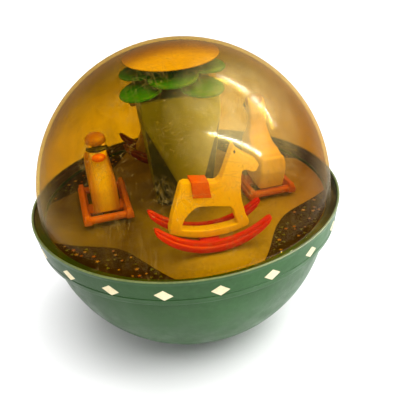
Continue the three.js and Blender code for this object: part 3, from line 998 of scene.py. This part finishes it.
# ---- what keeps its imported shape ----
def dress_packed_nodes():
    """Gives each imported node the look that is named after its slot, and the deck its paths."""
    slots = {part["node"]: part["material_slot"] for part in frame["record"]["subparts"]}
    looks = {"deck_brown": "deck_path"}
    for node, made in NODES.items():
        slot = slots[node]
        made.data.materials.clear()
        made.data.materials.append(LOOKS[looks.get(slot, slot)].material)


# ---- stage ----
def make_floor():
    """A plain pale square under the ball."""
    look = Look("pale_floor")
    patches = look.ramp(look.noise(3.0, 3.0), 0.3, 0.7)
    tone = look.mix(patches, (0.86, 0.86, 0.86, 1.0), (0.9, 0.9, 0.9, 1.0))
    look.set(Base_Color=tone, Roughness=0.9)
    mesh = bpy.data.meshes.new("floor")
    corners = [(-1, -1), (1, -1), (1, 1), (-1, 1)]
    mesh.from_pydata([(x * FLOOR_REACH, y * FLOOR_REACH, 0) for x, y in corners], [], [(0, 1, 2, 3)])
    mesh.materials.append(look.material)
    floor = bpy.data.objects.new("floor", mesh)
    bpy.context.scene.collection.objects.link(floor)


def make_world():
    """White surroundings that dim towards the top, so that low views have a pale background."""
    world = bpy.data.worlds.new("studio")
    world.use_nodes = True
    nodes, links = world.node_tree.nodes, world.node_tree.links
    direction = nodes.new("ShaderNodeTexCoord").outputs["Generated"]
    split = nodes.new("ShaderNodeSeparateXYZ")
    links.new(direction, split.inputs["Vector"])
    dimmer = nodes.new("ShaderNodeMapRange")
    links.new(split.outputs["Z"], dimmer.inputs["Value"])
    for key, value in {"From Min": 0.3, "From Max": 0.55, "To Min": 1.0, "To Max": 0.34}.items():
        dimmer.inputs[key].default_value = value
    background = nodes["Background"]
    background.inputs["Color"].default_value = (1.0, 1.0, 1.0, 1.0)
    links.new(dimmer.outputs["Result"], background.inputs["Strength"])
    bpy.context.scene.world = world
    bpy.context.scene.view_settings.view_transform = "Standard"


def axes_matrix(x_axis, y_axis, z_axis, spot):
    """The matrix of an object with these axes at a spot."""
    matrix = Matrix((x_axis, y_axis, z_axis)).transposed().to_4x4()
    matrix.translation = spot
    return matrix


def area_light(name, start, end, width, power):
    """A rectangular light, width wide from start to end, that faces the ball."""
    start, end = Vector(start), Vector(end)
    centre = (start + end) / 2
    back = (centre - Vector(LIGHT_TARGET)).normalized()
    side = back.cross((end - start).normalized()).normalized()
    along = side.cross(back).normalized()
    light = bpy.data.lights.new(name, "AREA")
    light.shape = "RECTANGLE"
    light.size = (end - start).length
    light.size_y = width
    light.energy = power
    made = bpy.data.objects.new(name, light)
    made.matrix_world = axes_matrix(along, side, back, centre)
    bpy.context.scene.collection.objects.link(made)
    return made


def make_lights():
    """A large soft light overhead, and two strips that the dome reflects as curved highlights."""
    strip_width = 0.03
    strips = [
        area_light("strip_right", (0.853, -0.05, 0.495), (0.43, 0.326, 0.858), strip_width, 36.0),
        area_light("strip_front", (0.741, -0.454, 0.487), (0.241, -0.461, 0.895), strip_width, 40.0),
    ]
    for strip in strips:
        strip.visible_diffuse = False
    overhead = area_light("overhead", (-0.7, -0.4, 1.6), (1.3, -0.4, 1.6), 2.0, 66.0)
    overhead.visible_glossy = False


def make_camera():
    """The photograph's viewpoint."""
    spot = Vector(CAMERA_SPOT)
    forward = (Vector(CAMERA_TARGET) - spot).normalized()
    right = forward.cross(Vector((0, 0, 1))).normalized()
    up = right.cross(forward)
    roll = math.radians(CAMERA_ROLL)
    across = right * math.cos(roll) + up * math.sin(roll)
    above = up * math.cos(roll) - right * math.sin(roll)
    data = bpy.data.cameras.new("camera")
    data.sensor_width = CAMERA_SENSOR
    data.lens = CAMERA_LENS
    camera = bpy.data.objects.new("camera", data)
    camera.matrix_world = axes_matrix(across, above, -forward, spot)
    bpy.context.scene.collection.objects.link(camera)
    bpy.context.scene.camera = camera


make_camera()
make_lights()
make_floor()
make_world()
dress_packed_nodes()
make_dome()
make_bowl()
make_band_marks()
make_beds()
make_flowers()
make_trunk()
make_leaves(
    "tree_leaves_low",
    "lower_leaves",
    centre=138.3 * MM,
    drop=4 * MM,
    reach=29 * MM,
    lobe=10 * MM,
    hub=11 * MM,
    turn=30,
)
make_leaves(
    "tree_leaves_high",
    "upper_leaves",
    centre=143 * MM,
    drop=3 * MM,
    reach=24.5 * MM,
    lobe=11.5 * MM,
    hub=12 * MM,
    turn=-10,
)
make_cap()
for figure_name, (kind_name, _, _) in FIGURES.items():
    if kind_name == "horse":
        make_horse(figure_name)
    else:
        make_swan(figure_name)
